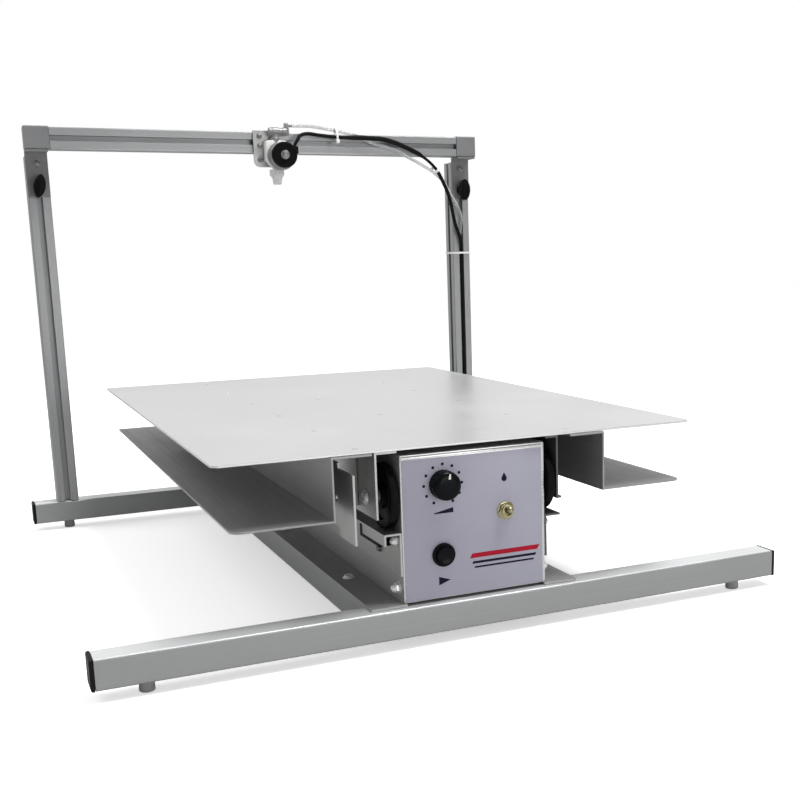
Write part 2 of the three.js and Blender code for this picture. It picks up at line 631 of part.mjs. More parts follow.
function lines(frame) {
  const post = GANTRY_X + POST_X;
  const inSlot = REAR_Y + 4.9;
  const atMouth = REAR_Y - 0.3;
  const pumpX = CHASSIS_X - 44;
  const hoseRun = [
    [HEAD_X + 22.4, 594, 496.5], [48, 597, 497], [68, 600, 495], [88, 600, 492], [113, 600, 487],
    [136, 600, 477.5], [159, 600, 472], [182, 602, 462.5], [206, 606, 452], [226, 611, 442],
    [242, 616, 430], [254, 620, 413], [265, 622, 397], [post - 0.5, 627.5, 382], [post, 633, 368],
    [post, inSlot, 352], [post, inSlot, 330], [post, inSlot, 200], [post, inSlot, 130],
    [post, inSlot, 104], [post, inSlot, 92], [post, inSlot - 3, 74], [post - 2, 622, 60],
    [post - 22, 615, 53], [post - 60, 614, 52], [180, 615, 52], [110, 615, 52], [60, 615, 52],
    [48, 600, 52], [30, 560, 56], [10, 480, 62], [-20, 380, 62], [pumpX, 290, 60],
    [pumpX, 225, 56], [pumpX, 203, 62], [pumpX, 197, 72], [pumpX, 197, 83.7],
  ];
  const cableRun = [
    [23, 588, 468], [29, 589, 478], [35, 592, 485], [45, 594, 487.5], [60, 594, 486], [86, 594, 484],
    [121, 594, 484], [152, 594, 482], [180, 595, 473], [206, 598, 461], [225, 603, 447],
    [238, 609, 430], [250, 616, 409], [260, 622, 375], [post - 3, 627, 352], [post, atMouth, 332],
    [post, atMouth, 300], [post, atMouth, 200], [post, atMouth, 100], [post, atMouth - 1, 82],
    [post - 2, 620, 64], [post - 20, 604, 54], [post - 60, 600, 52], [180, 600, 52], [110, 600, 52],
    [62, 600, 52], [48, 580, 54], [38, 520, 60], [0, 410, 84], [pumpX + 10, 335, 104],
    [pumpX, 300, 108], [pumpX, 270.4, 108],
  ];
  piece(frame, 'spray_hose', cord(HOSE_R, hoseRun, 84), finish(0xe3e6e6, 0.25, 0));
  piece(frame, 'valve_cable', cord(CABLE_R, cableRun, 84), finish(0x121212, 0.55, 0));
}

// ---- assembly ---------------------------------------------------------------------------------------
const machine = new THREE.Group();
const chassis = new THREE.Group();
chassis.position.x = CHASSIS_X;
const gantryGroup = new THREE.Group();
gantryGroup.position.x = GANTRY_X;
machine.add(chassis, gantryGroup);

baseFrame(machine);
for (const side of [-1, 1]) {
  piece(chassis, `${sideName(side)}_base_tube`, baseTube(side), anodised());
  piece(chassis, `${sideName(side)}_guide_rail`, guideRail(side), zinc());
}
piece(chassis, 'home_switch', homeSwitch(), blackPlastic());
piece(chassis, 'chassis_channel', chassisChannel(), greySheet());
piece(chassis, 'front_panel', frontPanel(), finish(0x9b99a8, 0.5, 0.2));
piece(chassis, 'rear_cover', rearCover(), greySheet());
piece(chassis, 'power_inlet', powerInlet(), blackPlastic());
controls(chassis);
internals(chassis);
carriage(chassis);
gantry(gantryGroup);
sprayHead(machine);
lines(machine);

const extent = new THREE.Box3().setFromObject(machine);
machine.position.y = -(extent.min.y + extent.max.y) / 2;
const model = new THREE.Group();
model.add(machine);

export default model;
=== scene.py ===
"""Looks of the flatbed spray pretreatment machine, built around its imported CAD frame.

Helper coordinates: x from the frame's middle, y from the front face of the front crossbar, z from the floor,
in millimetres. mm() turns them into the row frame in metres.
"""

import math
import random

import bmesh
import bpy
from mathutils import Matrix, Vector


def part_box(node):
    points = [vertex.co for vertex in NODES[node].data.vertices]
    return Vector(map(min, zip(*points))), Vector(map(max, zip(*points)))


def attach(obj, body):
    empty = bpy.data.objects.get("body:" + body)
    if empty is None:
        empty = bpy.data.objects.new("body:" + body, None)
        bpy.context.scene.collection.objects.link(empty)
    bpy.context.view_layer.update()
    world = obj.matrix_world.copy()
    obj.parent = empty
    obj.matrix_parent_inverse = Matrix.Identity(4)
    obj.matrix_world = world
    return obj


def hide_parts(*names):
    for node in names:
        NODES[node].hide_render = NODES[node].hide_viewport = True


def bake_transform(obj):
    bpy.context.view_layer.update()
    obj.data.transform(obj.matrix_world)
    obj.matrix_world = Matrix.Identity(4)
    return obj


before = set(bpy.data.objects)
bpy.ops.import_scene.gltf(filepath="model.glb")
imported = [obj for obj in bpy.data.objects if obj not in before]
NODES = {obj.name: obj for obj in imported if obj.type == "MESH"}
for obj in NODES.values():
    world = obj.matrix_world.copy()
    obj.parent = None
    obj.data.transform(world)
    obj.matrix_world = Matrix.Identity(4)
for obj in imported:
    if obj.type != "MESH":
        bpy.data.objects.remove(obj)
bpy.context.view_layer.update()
random.seed(7)


def middle_mm(node, axis):
    """Middle of a CAD node along "x", "y" or "z", in mm."""
    low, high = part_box(node)
    return (getattr(low, axis) + getattr(high, axis)) * 500


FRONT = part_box("front_crossbar")[0].y
CHASSIS = middle_mm("front_panel", "x")
PANEL_Y = (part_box("front_panel")[0].y - FRONT) * 1000
POST = middle_mm("right_post", "x")
REAR = (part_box("right_post")[0].y - FRONT) * 1000
HEAD = middle_mm("spray_nozzle", "x")
PUMP = CHASSIS - 44
DIAL = (CHASSIS - 29.4, 138.0)   # middle of the speed dial
SPRAY_Y = 594                    # depth of the spray axis
KNOB_BACK = 628.4                # front face of the clamp brackets
TIE_Z = 334                      # height of the tie on the right post
LEVER_PIVOT_Y = 7.5
LEVER_TILT = math.radians(-12)   # at rest the lever's tip points up
KNOB_TILT = 12                   # degrees; the left clamp knob leans to the right
INK = 0.06                       # thickness of the panel's print


def mm(x, y, z):
    return Vector((x / 1000, FRONT + y / 1000, z / 1000))


# ---- materials ----------------------------------------------------------------------------------
class Graph:
    """Small helper around a material's node tree."""

    def __init__(self, name):
        self.material = bpy.data.materials.new(name)
        self.material.use_nodes = True
        self.tree = self.material.node_tree
        self.nodes = self.tree.nodes
        self.shader = self.nodes["Principled BSDF"]
        self.position = self.nodes.new("ShaderNodeTexCoord").outputs["Object"]

    def link(self, a, b):
        self.tree.links.new(a, b)

    def noise(self, scale, stretch=(1, 1, 1), detail=3.0, rough=0.55, shift=0.0):
        mapping = self.nodes.new("ShaderNodeMapping")
        mapping.inputs["Scale"].default_value = stretch
        mapping.inputs["Location"].default_value = (shift, shift * 0.7, shift * 1.3)
        self.link(self.position, mapping.inputs["Vector"])
        n = self.nodes.new("ShaderNodeTexNoise")
        n.inputs["Scale"].default_value = scale
        n.inputs["Detail"].default_value = detail
        n.inputs["Roughness"].default_value = rough
        self.link(mapping.outputs["Vector"], n.inputs["Vector"])
        return n.outputs["Fac"]

    def span(self, value, low, high, a=0.3, b=0.7):
        m = self.nodes.new("ShaderNodeMapRange")
        for key, v in zip(("From Min", "From Max", "To Min", "To Max"), (a, b, low, high)):
            m.inputs[key].default_value = v
        self.link(value, m.inputs["Value"])
        return m.outputs["Result"]

    def mix(self, fac, a, b, blend="MIX"):
        m = self.nodes.new("ShaderNodeMix")
        m.data_type = "RGBA"
        m.blend_type = blend
        for socket, v in ((m.inputs[0], fac), (m.inputs[6], a), (m.inputs[7], b)):
            if isinstance(v, bpy.types.NodeSocket):
                self.link(v, socket)
            elif isinstance(v, (tuple, list)):
                socket.default_value = (*v[:3], 1)
            else:
                socket.default_value = v
        return m.outputs[2]

    def math(self, op, a, b=0.0):
        m = self.nodes.new("ShaderNodeMath")
        m.operation = op
        for socket, v in ((m.inputs[0], a), (m.inputs[1], b)):
            if isinstance(v, bpy.types.NodeSocket):
                self.link(v, socket)
            else:
                socket.default_value = v
        return m.outputs[0]

    def bump(self, height, strength, distance):
        b = self.nodes.new("ShaderNodeBump")
        b.inputs["Strength"].default_value = strength
        b.inputs["Distance"].default_value = distance
        self.link(height, b.inputs["Height"])
        self.link(b.outputs["Normal"], self.shader.inputs["Normal"])

    def facing_up(self):
        """One on level top faces, zero elsewhere."""
        geometry = self.nodes.new("ShaderNodeNewGeometry")
        split = self.nodes.new("ShaderNodeSeparateXYZ")
        self.link(geometry.outputs["Normal"], split.inputs[0])
        return self.span(split.outputs["Z"], 0, 1, 0.7, 0.95)

    def edges(self):
        """High on convex edges, zero on flats."""
        geometry = self.nodes.new("ShaderNodeNewGeometry")
        return self.span(geometry.outputs["Pointiness"], 0, 1, 0.52, 0.62)


def shade(colour, factor):
    return tuple(min(1.0, c * factor) for c in colour[:3])


def sheet_metal(name, colour, rough, metal=0.75, brush=(3, 900, 900), patch=14.0, vary=0.07, grit=0.12,
                bump=0.06, marks=0.0, top=1.0):
    """Metal with fine lengthwise brushing, cloudy patches, small handling marks and paler worn edges; top scales
    the colour of level top faces as a painted highlight from above.
    """
    g = Graph(name)
    fine = g.noise(1.0, brush, 4.0, 0.6)
    cloud = g.noise(patch, (1, 1, 1), 4.0, 0.6, 3.1)
    speckle = g.noise(900.0, (1, 1, 1), 2.0, 0.5, 5.7)
    base = g.mix(g.span(cloud, 0, 1), shade(colour, 1 - vary), shade(colour, 1 + vary))
    base = g.mix(g.span(fine, 0, 0.55, 0.35, 0.65), base, shade(colour, 1 - 1.3 * vary))
    base = g.mix(g.span(speckle, 0, 0.35, 0.5, 0.75), base, shade(colour, 0.8))
    if marks:
        smear = g.noise(38.0, (1, 2.2, 1), 6.0, 0.7, 9.4)
        base = g.mix(g.span(smear, 0, marks, 0.56, 0.74), base, shade(colour, 0.72))
    base = g.mix(g.edges(), base, shade(colour, 1.12))
    # painted light: where top is not 1, level top faces take the colour scaled by top, standing in for light
    # falling from above
    if top != 1.0:
        base = g.mix(g.facing_up(), base, shade(colour, top))
    g.link(base, g.shader.inputs["Base Color"])
    g.shader.inputs["Metallic"].default_value = metal
    wave = g.math("ADD", g.span(fine, -grit / 2, grit / 2), g.span(cloud, rough - grit / 2, rough + grit / 2))
    g.link(wave, g.shader.inputs["Roughness"])
    g.bump(g.math("ADD", fine, g.math("MULTIPLY", speckle, 0.4)), bump, 0.0004)
    return g.material


def moulded(name, colour, rough, grain=1800.0, bump=0.1, coat=0.0, vary=0.12, metal=0.0, specular=0.25,
            worn=0.12):
    """Moulded plastic or rubber with a fine spark grain and slight dust."""
    g = Graph(name)
    fine = g.noise(grain, (1, 1, 1), 2.0, 0.5)
    cloud = g.noise(60.0, (1, 1, 1), 4.0, 0.6, 2.3)
    base = g.mix(g.span(cloud, 0, 1), shade(colour, 1 - vary), shade(colour, 1 + vary))
    dust = tuple(0.8 * c + 0.2 * 0.3 for c in colour)
    base = g.mix(g.math("MULTIPLY", g.edges(), worn), base, dust)
    g.link(base, g.shader.inputs["Base Color"])
    g.shader.inputs["Metallic"].default_value = metal
    g.shader.inputs["Specular IOR Level"].default_value = specular
    g.shader.inputs["Coat Weight"].default_value = coat
    g.shader.inputs["Coat Roughness"].default_value = 0.08
    g.link(g.span(cloud, rough - 0.06, rough + 0.08), g.shader.inputs["Roughness"])
    g.bump(fine, bump, 0.0002)
    return g.material


def glassy(name, colour, rough, weight):
    """Clear or milky plastic with faint streaks."""
    g = Graph(name)
    streak = g.noise(220.0, (1, 1, 0.2), 3.0, 0.5)
    g.link(g.mix(g.span(streak, 0, 1), shade(colour, 0.93), colour), g.shader.inputs["Base Color"])
    g.link(g.span(streak, rough, rough + 0.12), g.shader.inputs["Roughness"])
    g.shader.inputs["Transmission Weight"].default_value = weight
    g.shader.inputs["IOR"].default_value = 1.4
    g.bump(streak, 0.05, 0.0002)
    return g.material


def film_material():
    """Matt printed film on the control panel, with the soft orange-peel of a laminate."""
    g = Graph("panel_film_print")
    peel = g.noise(650.0, (1, 1, 1), 2.0, 0.5)
    cloud = g.noise(18.0, (1, 1, 1), 3.0, 0.5, 1.9)
    base = g.mix(g.span(cloud, 0, 1), (0.355, 0.348, 0.425), (0.375, 0.368, 0.445))
    base = g.mix(g.span(peel, 0, 0.25, 0.4, 0.75), base, (0.33, 0.322, 0.395))
    g.link(base, g.shader.inputs["Base Color"])
    g.link(g.span(peel, 0.42, 0.55), g.shader.inputs["Roughness"])
    g.shader.inputs["Coat Weight"].default_value = 0.15
    g.shader.inputs["Coat Roughness"].default_value = 0.35
    g.bump(peel, 0.08, 0.0002)
    return g.material


MAT = {
    # crossbars: a base darker than the base tubes' is painted shade on their fronts, and top=2.3 is painted light
    # on their level tops
    "bar": sheet_metal("anodised_bar", (0.335, 0.34, 0.342), 0.42, 0.5, (2, 700, 700), vary=0.05, marks=0.15,
                        top=2.3),
    "bar_y": sheet_metal("anodised_bar_deep", (0.40, 0.405, 0.41), 0.42, 0.6, (700, 2, 700), vary=0.05),
    "post": sheet_metal("anodised_post", (0.34, 0.345, 0.35), 0.36, 0.7, (800, 800, 3), vary=0.05),
    "beam": sheet_metal("anodised_beam", (0.33, 0.335, 0.34), 0.36, 0.6, (3, 800, 800), vary=0.05),
    "platen": sheet_metal("satin_platen", (0.655, 0.665, 0.655), 0.36, 0.62, (900, 2.5, 300), 7.0, 0.035, 0.10,
                          0.04, 0.12),
    "tray": sheet_metal("mill_sheet", (0.33, 0.332, 0.335), 0.46, 0.6, (500, 3, 500), 10.0, 0.10, 0.14, 0.08, 0.2),
    "channel": sheet_metal("chassis_sheet", (0.40, 0.402, 0.405), 0.44, 0.6, (500, 3, 500), 9.0, 0.08, 0.14, 0.08,
                           0.15),
    "zinc": sheet_metal("zinc_plate", (0.42, 0.42, 0.415), 0.38, 0.8, (60, 60, 60), 45.0, 0.12, 0.12, 0.10, 0.2),
    "steel": sheet_metal("bright_steel", (0.72, 0.72, 0.71), 0.26, 0.95, (200, 200, 200), 90.0, 0.08, 0.10, 0.05),
    "cast": sheet_metal("cast_grey_paint", (0.215, 0.217, 0.222), 0.52, 0.35, (350, 350, 350), 40.0, 0.10,
                        0.10, 0.2),
    "border": sheet_metal("panel_border", (0.62, 0.625, 0.62), 0.30, 0.9, (4, 600, 600), 30.0, 0.06, 0.1, 0.05),
    "nickel": sheet_metal("nickel_plate", (0.82, 0.82, 0.81), 0.32, 0.45, (200, 200, 200), 90.0, 0.05, 0.10, 0.05),
    # the zinc plate darkened to 0.10: painted shade for the right rail and slide plate, which stand in shadow
    "shaded": sheet_metal("zinc_plate_painted_shade", (0.10, 0.10, 0.10), 0.45, 0.6, (60, 60, 60), 45.0, 0.12, 0.12, 0.10),
    "bolt": sheet_metal("plain_bolt", (0.24, 0.24, 0.235), 0.38, 0.85, (200, 200, 200), 90.0, 0.08, 0.10, 0.05),
    "brass": sheet_metal("nickel_brass", (0.36, 0.33, 0.20), 0.26, 0.95, (300, 300, 300), 120.0, 0.14, 0.10, 0.06),
    "film": film_material(),
    "black": moulded("black_moulding", (0.0045, 0.0045, 0.005), 0.45, specular=0.06, worn=0.03),
    "gloss": moulded("gloss_black_moulding", (0.003, 0.0035, 0.0045), 0.28, bump=0.02, coat=0.06,
                     specular=0.06, worn=0.02),
    "print": moulded("dark_ink", (0.014, 0.012, 0.032), 0.6, bump=0.03, specular=0.05, worn=0.0),
    "red_print": moulded("red_ink", (0.40, 0.010, 0.028), 0.5, bump=0.03, specular=0.1, worn=0.0),
    "cap": moulded("black_cap", (0.007, 0.007, 0.0075), 0.5, 900.0, 0.2, specular=0.1),
    "foot": moulded("grey_rubber_foot", (0.30, 0.30, 0.295), 0.75, 1200.0, 0.3),
    "belt": moulded("black_belt_rubber", (0.015, 0.015, 0.015), 0.7, 900.0, 0.3),
    "white": moulded("white_acetal", (0.80, 0.80, 0.79), 0.38, 1500.0, 0.05, vary=0.03),
    "fitting": moulded("grey_fitting", (0.27, 0.27, 0.272), 0.36, 1200.0, 0.08, metal=0.3),
    "cable": moulded("black_braid", (0.006, 0.006, 0.006), 0.55, 700.0, 0.5, specular=0.08),
    "motor": moulded("motor_enamel", (0.03, 0.03, 0.033), 0.4, 1200.0, 0.15),
    "nozzle": glassy("milky_nozzle", (0.86, 0.87, 0.86), 0.25, 0.35),
    "hose": glassy("clear_hose", (0.90, 0.915, 0.92), 0.08, 0.75),
    "tie": moulded("white_nylon", (0.82, 0.82, 0.81), 0.4, 1500.0, 0.04, vary=0.03),
}


def paint(names, key, bevel=0.25, angle=28):
    """Gives CAD nodes their material and small rounded edges."""
    for name in names:
        o = NODES[name]
        o.data.materials.clear()
        o.data.materials.append(MAT[key])
        if bevel:
            weld = o.modifiers.new("weld", "WELD")
            weld.merge_threshold = 1e-5
            m = o.modifiers.new("edges", "BEVEL")
            m.width = bevel / 1000
            m.segments = 2
            m.limit_method = "ANGLE"
            m.angle_limit = math.radians(angle)
            m.harden_normals = False


# ---- mesh helpers -------------------------------------------------------------------------------
def shared(name, bm, key, smooth=35):
    """Mesh with its material, smooth-shaded between edges sharper than smooth degrees."""
    bmesh.ops.recalc_face_normals(bm, faces=bm.faces)
    mesh = bpy.data.meshes.new(name)
    bm.to_mesh(mesh)
    bm.free()
    for p in mesh.polygons:
        p.use_smooth = True
    mesh.set_sharp_from_angle(angle=math.radians(smooth))
    mesh.materials.append(MAT[key])
    return mesh


def finish_mesh(name, bm, key, body, at=(0, 0, 0), smooth=35):
    return place(name, shared(name, bm, key, smooth), body, at)


def place(name, mesh, body, at=(0, 0, 0), turn=None):
    o = bpy.data.objects.new(name, mesh)
    bpy.context.scene.collection.objects.link(o)
    if turn is not None:
        o.matrix_world = Matrix.Translation(at) @ turn
    else:
        o.location = at
    if body:
        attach(o, body)
    return o


TO_AXIS = {
    "z": Matrix.Identity(4),
    "-y": Matrix.Rotation(math.radians(90), 4, "X"),
    "x": Matrix.Rotation(math.radians(90), 4, "Y"),
    "-x": Matrix.Rotation(math.radians(-90), 4, "Y"),
}


def lathe_bm(profile, segments=48, scale_at=None):
    """Revolves (radius, height) points in mm about z. scale_at(angle, height) may vary the radius."""
    bm = bmesh.new()
    rings = []
    for r, h in profile:
        if r <= 1e-6:
            rings.append([bm.verts.new((0, 0, h / 1000))])
            continue
        ring = []
        for i in range(segments):
            a = 2 * math.pi * i / segments
            k = scale_at(a, h) if scale_at else 1.0
            ring.append(bm.verts.new((r * k * math.cos(a) / 1000, r * k * math.sin(a) / 1000, h / 1000)))
        rings.append(ring)
    for a, b in zip(rings, rings[1:]):
        if len(a) == 1 and len(b) == 1:
            continue
        for i in range(segments):
            j = (i + 1) % segments
            if len(a) == 1:
                bm.faces.new((a[0], b[i], b[j]))
            elif len(b) == 1:
                bm.faces.new((a[i], b[0], a[j]))
            else:
                bm.faces.new((a[i], b[i], b[j], a[j]))
    return bm


def lathe(name, profile, axis, at, key, body, segments=48, smooth=35, scale_at=None):
    bm = lathe_bm(profile, segments, scale_at)
    bm.transform(TO_AXIS[axis])
    return finish_mesh(name, bm, key, body, at, smooth)


def slab_bm(outline, thick, bevel=0.0, segments=2):
    """Polygon in (x, y) mm raised along z by thick mm, with bevelled edges."""
    bm = bmesh.new()
    base = bm.faces.new([bm.verts.new((x / 1000, y / 1000, 0)) for x, y in outline])
    top = bmesh.ops.extrude_face_region(bm, geom=[base])
    raised = [v for v in top["geom"] if isinstance(v, bmesh.types.BMVert)]
    bmesh.ops.translate(bm, vec=(0, 0, thick / 1000), verts=raised)
    bmesh.ops.recalc_face_normals(bm, faces=bm.faces)
    if bevel:
        sharp = [e for e in bm.edges if e.calc_face_angle(0) > math.radians(30)]
        bmesh.ops.bevel(bm, geom=sharp, offset=bevel / 1000, segments=segments, affect="EDGES", profile=0.5)
    return bm


def rounded(x0, x1, y0, y1, r, steps=6):
    """Corner-rounded rectangle outline."""
    points = []
    for cx, cy, start in ((x1 - r, y1 - r, 0), (x0 + r, y1 - r, 90), (x0 + r, y0 + r, 180), (x1 - r, y0 + r, 270)):
        for i in range(steps + 1):
            a = math.radians(start + 90 * i / steps)
            points.append((cx + r * math.cos(a), cy + r * math.sin(a)))
    return points


# An (x, y) outline becomes (x, z), with its thickness towards the front.
UPRIGHT = Matrix.Rotation(math.radians(90), 4, "X")


def front_slab(name, outline, thick, y_back, key, body, bevel=0.15, smooth=35):
    """Outline in (x, z) mm, its back face at depth y_back, thickness towards the front."""
    bm = slab_bm(outline, thick, bevel)
    bm.transform(UPRIGHT)
    return finish_mesh(name, bm, key, body, mm(0, y_back, 0), smooth)


def smooth_path(points, per=8):
    """Centripetal Catmull-Rom through points (Vectors)."""
    out = []
    n = len(points)
    for i in range(n - 1):
        p1, p2 = points[i], points[i + 1]
        p0 = points[i - 1] if i else p1 * 2 - p2
        p3 = points[i + 2] if i + 2 < n else p2 * 2 - p1
        t = [0.0]
        for a, b in ((p0, p1), (p1, p2), (p2, p3)):
            t.append(t[-1] + max((b - a).length, 1e-9) ** 0.5)
        for k in range(per):
            s = t[1] + (t[2] - t[1]) * k / per
            a1 = p0.lerp(p1, (s - t[0]) / (t[1] - t[0]))
            a2 = p1.lerp(p2, (s - t[1]) / (t[2] - t[1]))
            a3 = p2.lerp(p3, (s - t[2]) / (t[3] - t[2]))
            b1 = a1.lerp(a2, (s - t[0]) / (t[2] - t[0]))
            b2 = a2.lerp(a3, (s - t[1]) / (t[3] - t[1]))
            out.append(b1.lerp(b2, (s - t[1]) / (t[2] - t[1])))
    out.append(points[-1].copy())
    return out


def swept(name, path, radius, key, sides=16):
    """Round tube along a path in metres; radius(length so far) in mm."""
    bm = bmesh.new()
    rings = []
    tangent = (path[1] - path[0]).normalized()
    side = tangent.orthogonal().normalized()
    run = 0.0
    for i, p in enumerate(path):
        ahead = path[min(i + 1, len(path) - 1)] - path[max(i - 1, 0)]
        new = ahead.normalized()
        side = (side - new * side.dot(new)).normalized()
        up = new.cross(side)
        if i:
            run += (p - path[i - 1]).length
        r = radius(run) / 1000
        turns = [2 * math.pi * k / sides for k in range(sides)]
        rings.append([bm.verts.new(p + side * (r * math.cos(t)) + up * (r * math.sin(t))) for t in turns])
    for a, b in zip(rings, rings[1:]):
        for k in range(sides):
            j = (k + 1) % sides
            bm.faces.new((a[k], a[j], b[j], b[k]))
    bm.faces.new(list(reversed(rings[0])))
    bm.faces.new(rings[-1])
    return finish_mesh(name, bm, key, None, smooth=60)


# ---- fasteners ----------------------------------------------------------------------------------
def add_prism(bm, sides, radius, low, high, chamfer=0.5, turn=0.0):
    """Hexagon or square block with chamfered corners, in mm, along z."""
    rings = []
    for r, h in ((radius - chamfer, low), (radius, low + chamfer * 0.6), (radius, high - chamfer * 0.6),
                 (radius - chamfer, high)):
        rings.append([bm.verts.new((r * math.cos(turn + 2 * math.pi * k / sides) / 1000,
                                    r * math.sin(turn + 2 * math.pi * k / sides) / 1000, h / 1000))
                      for k in range(sides)])
    for a, b in zip(rings, rings[1:]):
        for k in range(sides):
            j = (k + 1) % sides
            bm.faces.new((a[k], a[j], b[j], b[k]))
    bm.faces.new(list(reversed(rings[0])))
    bm.faces.new(rings[-1])


def append(bm, other):
    """Adds other's faces to bm and frees it."""
    mesh = bpy.data.meshes.new("part")
    other.to_mesh(mesh)
    other.free()
    bm.from_mesh(mesh)
    bpy.data.meshes.remove(mesh)


def countersunk_mesh():
    """Flat head with a raised lip and a round sunk drive."""
    bm = bmesh.new()
    profile = [(3.0, -0.1), (3.0, 0.06), (2.8, 0.12), (1.55, 0.12), (1.5, 0.06), (1.45, -0.1), (0, -0.1)]
    append(bm, lathe_bm(profile, 24))
    return shared("countersunk_screw", bm, "steel")


def dome_nut_mesh():
    """Hexagon nut with a washer face and a domed cap."""
    bm = bmesh.new()
    append(bm, lathe_bm([(0, 0), (4.6, 0), (4.6, 0.7), (3.9, 0.9)], 24))
    add_prism(bm, 6, 3.9, 0.7, 3.3)
    arc = [math.radians(d) for d in (0, 20, 40, 60, 78)]
    dome = [(3.1 * math.cos(a), 3.6 + 3.0 * math.sin(a)) for a in arc]
    append(bm, lathe_bm([(3.1, 3.2)] + dome + [(0, 6.6)], 24))
    bm.transform(Matrix.Scale(1.2, 4))
    return shared("dome_nut", bm, "nickel", 40)


def bolt_mesh(scale=1.0, key="bolt"):
    """Pan head on a washer, with a sunk drive; scale widens it."""
    bm = bmesh.new()
    washer = [(0, 0), (4.4, 0), (4.6, 0.25), (4.4, 0.9), (3.2, 0.9)]
    head = [(3.4, 0.9), (3.6, 1.3), (3.3, 2.4), (2.6, 3.0), (1.7, 3.15), (1.6, 3.0), (1.55, 1.9), (0, 1.9)]
    for profile in (washer, head):
        append(bm, lathe_bm([(r * scale, h) for r, h in profile], 28))
    return shared("pan_bolt", bm, key, 40)


COUNTERSUNK = countersunk_mesh()
DOME = dome_nut_mesh()
BOLT = bolt_mesh()
SMALL_BOLT = bolt_mesh(0.75)
AXLE_NUT = bolt_mesh(1.45, "nickel")
FLANGE_BOLT = bolt_mesh(1.25, "nickel")


def fasten(name, mesh, axis, at, body, spin=0.0):
    return place(name, mesh, body, at, TO_AXIS[axis] @ Matrix.Rotation(spin, 4, "Z"))


# ---- frame, chassis and carriage sheet metal -------------------------------------------------------
paint(["front_crossbar", "rear_crossbar"], "bar", 0.5)
paint(["left_base_tube", "right_base_tube"], "bar_y", 0.5)
paint(["left_post", "right_post"], "post", 0.18)
paint(["crossbeam"], "beam", 0.18)
paint(["front_cap_left", "front_cap_right", "rear_cap_left", "rear_cap_right"], "cap", 0.3, 40)
paint(["front_foot_left", "front_foot_right", "rear_foot_left", "rear_foot_right"], "foot", 0.2, 40)
paint(["chassis_channel", "rear_cover"], "channel", 0.4)
paint(["platen"], "platen", 0.3)
paint(["left_side_bracket", "right_side_bracket"], "tray", 0.3)
# painted shade: the right rail and slide plate take the darkened zinc, while the left ones stay plain zinc
paint(["right_guide_rail", "right_slide_plate"], "shaded", 0.25)
paint(["left_guide_rail", "left_slide_plate", "stop_bracket", "belt_clamp", "motor_bracket", "idler_bracket",
       "drive_pulley", "idler_pulley", "head_bracket"], "zinc", 0.25)
paint(["left_end_block", "right_end_block", "left_clamp_bracket", "right_clamp_bracket",
       "speed_potentiometer"], "cast", 0.35)
paint(["left_wheel_1", "left_wheel_2", "right_wheel_1", "right_wheel_2", "home_switch", "power_inlet",
       "start_switch_body"], "black", 0.25, 40)
paint(["prime_switch_body"], "brass", 0.2, 40)
paint(["timing_belt"], "belt", 0)
paint(["drive_motor", "fluid_pump"], "motor", 0.4, 40)


# ---- control panel ----------------------------------------------------------------------------------
def control_panel():
    low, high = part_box("front_panel")
    x0, x1 = low.x * 1000, high.x * 1000
    z0, z1 = low.z * 1000, high.z * 1000
    plate = front_slab("panel_plate", rounded(x0, x1, z0, z1, 1.2, 3), 1.6, PANEL_Y + 2, "border", "frame", 0.5)
    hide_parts("front_panel")
    lip = front_slab("panel_top_fold", rounded(x0 + 1.2, x1 - 2.4, z1 - 3.9, z1 - 1.9, 0.4, 3), 0.7, PANEL_Y + 0.8,
                     "border", "frame", 0.3)
    # a thin dark grey strip between the top fold and the panel's upper edge: painted shade in the crease of the
    # bend
    fold_shade_strip = front_slab("panel_fold_painted_shade", [(x0 + 1.2, z1 - 1.9), (x1 - 2, z1 - 1.9), (x1 - 2, z1 - 1.1),
                                              (x0 + 1.2, z1 - 1.1)], 0.08, PANEL_Y + 0.4, "cast", "frame", 0)
    film = front_slab("panel_film", rounded(x0 + 1.4, x1 - 2.6, z0 + 0.5, z1 - 4.3, 0.8, 3), 0.4, PANEL_Y + 0.5,
                      "film", "frame", 0.1)


def panel_marks():
    y = PANEL_Y + 0.1
    cx, cz = DIAL
    circle, dot_r = 17.6, 1.35
    steps = [t * math.pi / 6 for t in range(12)]
    for i in range(11):
        a = math.radians(240 - 30 * i)
        x, z = cx + circle * math.cos(a), cz + circle * math.sin(a)
        outline = [(x + dot_r * math.cos(t), z + dot_r * math.sin(t)) for t in steps]
        dot = front_slab(f"dial_mark_{i + 1}", outline, INK, y, "print", "frame", 0)
    wedge = [(cx - 9, 112.8), (cx + 9, 112.8), (cx + 9, 117.2), (cx - 9, 113.6)]
    front_slab("dial_wedge_mark", wedge, INK, y, "print", "frame", 0)
    sx = CHASSIS - 30.6
    front_slab("start_arrow_mark", [(sx - 5, 49.6), (sx + 6, 53.4), (sx - 5, 57.2)], INK, y, "print", "frame", 0)
    px, pz = CHASSIS + 28.6, 138.2
    arc = [math.radians(a) for a in range(35, -216, -25)]
    drop = [(px, pz + 4.4)] + [(px + 2.6 * math.cos(a), pz - 1.0 + 2.6 * math.sin(a)) for a in arc]
    front_slab("prime_drop_mark", drop, INK, y, "print", "frame", 0)
    stripes = (("red_print", 69.6, 4.2, -6, 60), ("print", 64.4, 2.2, -4, 58), ("print", 60.4, 1.6, -2, 56))
    for i, (key, z, tall, left, right) in enumerate(stripes):
        lean = tall * 0.6
        bar = [(CHASSIS + left, z), (CHASSIS + right, z), (CHASSIS + right + lean, z + tall),
               (CHASSIS + left + lean, z + tall)]
        front_slab(f"panel_stripe_{i + 1}", bar, INK, y, key, "frame", 0)


